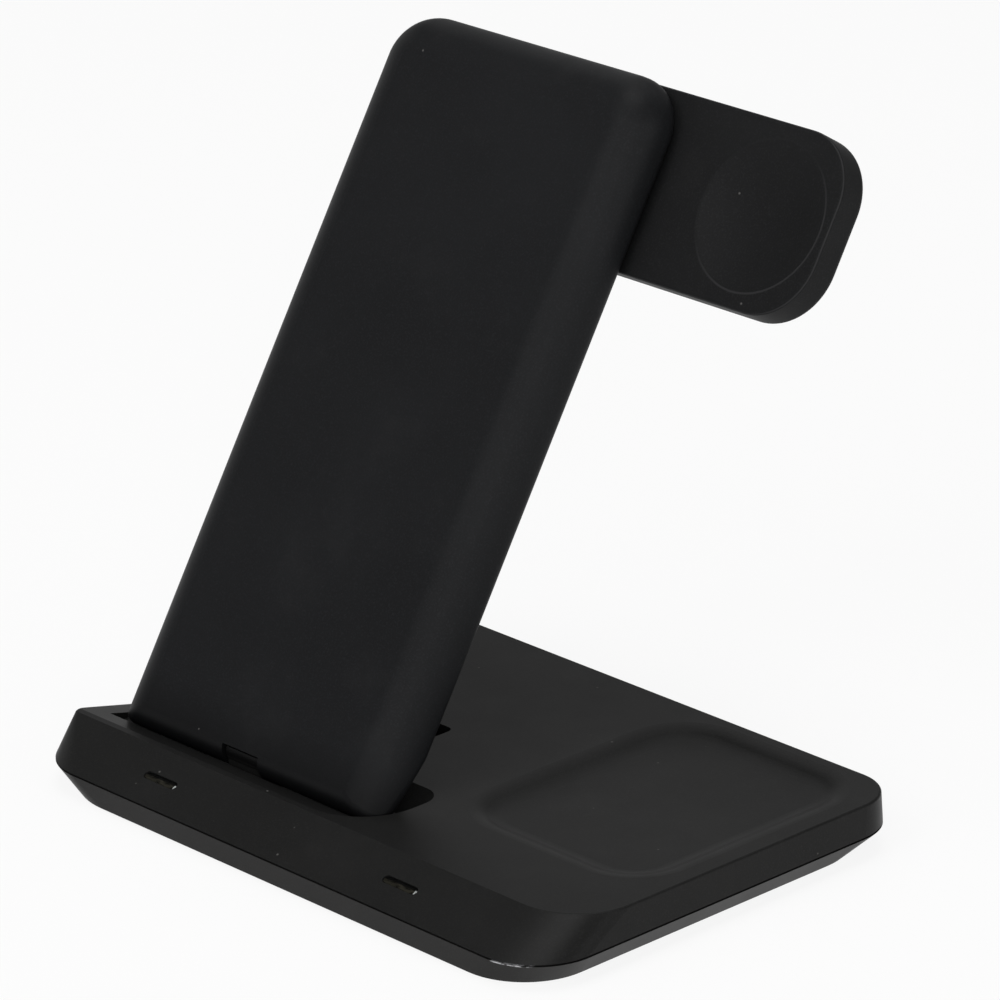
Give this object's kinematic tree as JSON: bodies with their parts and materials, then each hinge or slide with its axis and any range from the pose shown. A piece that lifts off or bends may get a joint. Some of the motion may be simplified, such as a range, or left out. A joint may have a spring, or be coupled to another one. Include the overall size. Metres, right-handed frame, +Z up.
{
  "type": "three in one wireless charger",
  "caption": "Wireless charging stand with a leaning phone slab, a swivelling watch arm with a hollow charging dish and a flat base with a shallow dish for an earbud case.",
  "frame": {"origin": "middle of the rubber pad's underside, where the base stands on the table", "axes": "+X along the front to the right, +Y to the back, +Z up"},
  "size_m": [0.148, 0.1136, 0.1424],
  "materials": {
    "base_plastic": "fine satin",
    "lower_plastic": "fine satin",
    "slab_plastic": "soft touch",
    "arm_plastic": "soft touch",
    "pad_rubber": "matte",
    "smoked_lens": "polished",
    "board_laminate": "satin",
    "chip_resin": "matte",
    "led_resin": "polished",
    "coil_copper": "satin",
    "ferrite": "matte",
    "steel": "satin",
    "hinge_metal": "matte paint",
    "washer_plastic": "satin"
  },
  "bodies": {
    "base": {"base_top_cover": "base_plastic", "base_bottom_cover": "lower_plastic", "base_pad": "pad_rubber", "base_screws": "steel", "left_light_window": "smoked_lens", "right_light_window": "smoked_lens", "status_board": "board_laminate", "status_leds": "led_resin", "main_board": "board_laminate", "board_parts": "chip_resin", "board_screws": "steel", "usb_socket": "steel", "earbud_coil": "coil_copper", "earbud_ferrite": "ferrite", "weight_plate": "steel"},
    "stand": {"stand_front_cover": "slab_plastic", "stand_rear_cover": "slab_plastic", "hinge_leaf": "hinge_metal", "hinge_pin": "steel", "hinge_washers": "steel", "leaf_screws": "steel", "upper_phone_coil": "coil_copper", "lower_phone_coil": "coil_copper", "phone_ferrite": "ferrite", "stand_board": "board_laminate", "stand_board_parts": "chip_resin"},
    "arm": {"arm_front_cover": "arm_plastic", "arm_rear_cover": "arm_plastic", "watch_coil": "coil_copper", "watch_ferrite": "ferrite", "watch_magnet": "steel", "arm_pivot": "steel", "pivot_washer": "washer_plastic", "pivot_clip": "steel", "arm_screws": "steel"}
  },
  "joints": [
    {"name": "stand_tilt", "type": "hinge", "parent": "base", "child": "stand", "pos_m": [-0.0285, -0.02955, 0.01326], "axis": [-1, 0, 0], "range_deg": [0, 30]},
    {"name": "arm_swivel", "type": "hinge", "parent": "stand", "child": "arm", "pos_m": [-0.01025, 0.04641, 0.12312], "axis": [0, 0.8536, -0.521], "range_deg": [0, 90]}
  ]
}
